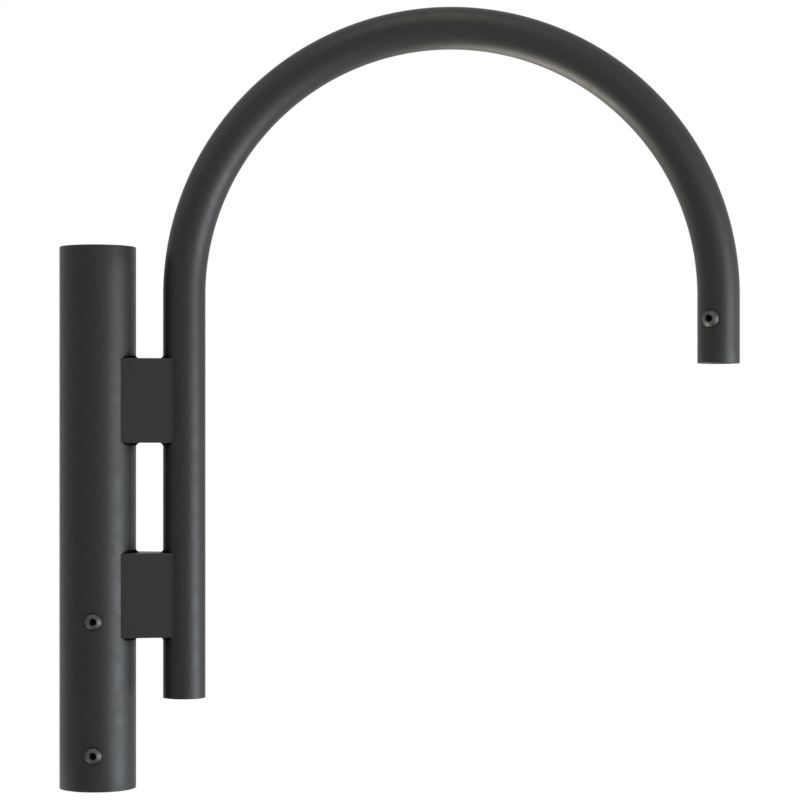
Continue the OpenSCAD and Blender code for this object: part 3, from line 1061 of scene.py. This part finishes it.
class LAMPBRACKET_OT_blocks(Operator):
    """Model the two saddle blocks"""

    bl_idname = "lamp_bracket.blocks"
    bl_label = "Saddle Blocks"

    def execute(self, context):
        coat = finish(powder_coat)
        for name, node in (("upper_saddle", "upper_block"), ("lower_saddle", "lower_block")):
            build_block(name, node, sizes("tubes"), sizes("blocks"), coat)
        return {"FINISHED"}


class LAMPBRACKET_OT_welds(Operator):
    """Model the welds above and below the blocks"""

    bl_idname = "lamp_bracket.welds"
    bl_label = "Welds"

    def execute(self, context):
        build_welds(sizes("tubes"), sizes("blocks"), finish(weld_coat))
        return {"FINISHED"}


class LAMPBRACKET_OT_screws(Operator):
    """Model the three button head screws"""

    bl_idname = "lamp_bracket.screws"
    bl_label = "Screws"

    def execute(self, context):
        build_screws(sizes("tubes"), sizes("screws"), finish(screw_steel))
        return {"FINISHED"}


class LAMPBRACKET_OT_studio(Operator):
    """Set up the floor, the room light, the soft boxes and the camera"""

    bl_idname = "lamp_bracket.studio"
    bl_label = "Studio"

    def execute(self, context):
        studio = sizes("studio")
        build_world(studio)
        build_floor(studio)
        for name, (bearing, rise, tone) in SOFT_BOXES.items():
            watts = getattr(studio, name + "_power")
            soft_box(name + "_box", bearing, rise, watts, getattr(studio, tone))
        build_camera(studio)
        context.scene.view_settings.view_transform = "Standard"
        return {"FINISHED"}


class LAMPBRACKET_PT_panel(Panel):
    """Sizes, finishes and buttons of the lamp bracket"""

    bl_idname = "LAMPBRACKET_PT_panel"
    bl_label = "Lamp Bracket"
    bl_space_type = "VIEW_3D"
    bl_region_type = "UI"
    bl_category = "Lamp Bracket"

    def draw(self, context):
        for operator in OPERATORS:
            self.layout.operator(operator.bl_idname)
        for name in GROUPS:
            column = self.layout.column(align=True)
            column.label(text=name.title())
            group = sizes(name)
            for entry in group.__annotations__:
                column.prop(group, entry)


GROUPS = {
    "tubes": LAMPBRACKET_PG_tubes,
    "blocks": LAMPBRACKET_PG_blocks,
    "screws": LAMPBRACKET_PG_screws,
    "finishes": LAMPBRACKET_PG_finishes,
    "studio": LAMPBRACKET_PG_studio,
}
OPERATORS = (
    LAMPBRACKET_OT_sleeve,
    LAMPBRACKET_OT_arm,
    LAMPBRACKET_OT_caps,
    LAMPBRACKET_OT_inserts,
    LAMPBRACKET_OT_blocks,
    LAMPBRACKET_OT_welds,
    LAMPBRACKET_OT_screws,
    LAMPBRACKET_OT_studio,
)


def register():
    for made in (*GROUPS.values(), *OPERATORS, LAMPBRACKET_PT_panel):
        bpy.utils.register_class(made)
    for name, group in GROUPS.items():
        setattr(bpy.types.Scene, "lamp_bracket_" + name, PointerProperty(type=group))


def unregister():
    for name in GROUPS:
        delattr(bpy.types.Scene, "lamp_bracket_" + name)
    for made in reversed((*GROUPS.values(), *OPERATORS, LAMPBRACKET_PT_panel)):
        bpy.utils.unregister_class(made)


def main():
    register()
    bpy.ops.lamp_bracket.sleeve()
    bpy.ops.lamp_bracket.arm()
    bpy.ops.lamp_bracket.caps()
    bpy.ops.lamp_bracket.inserts()
    bpy.ops.lamp_bracket.blocks()
    bpy.ops.lamp_bracket.welds()
    bpy.ops.lamp_bracket.screws()
    bpy.ops.lamp_bracket.studio()


if __name__ == "__main__":
    main()
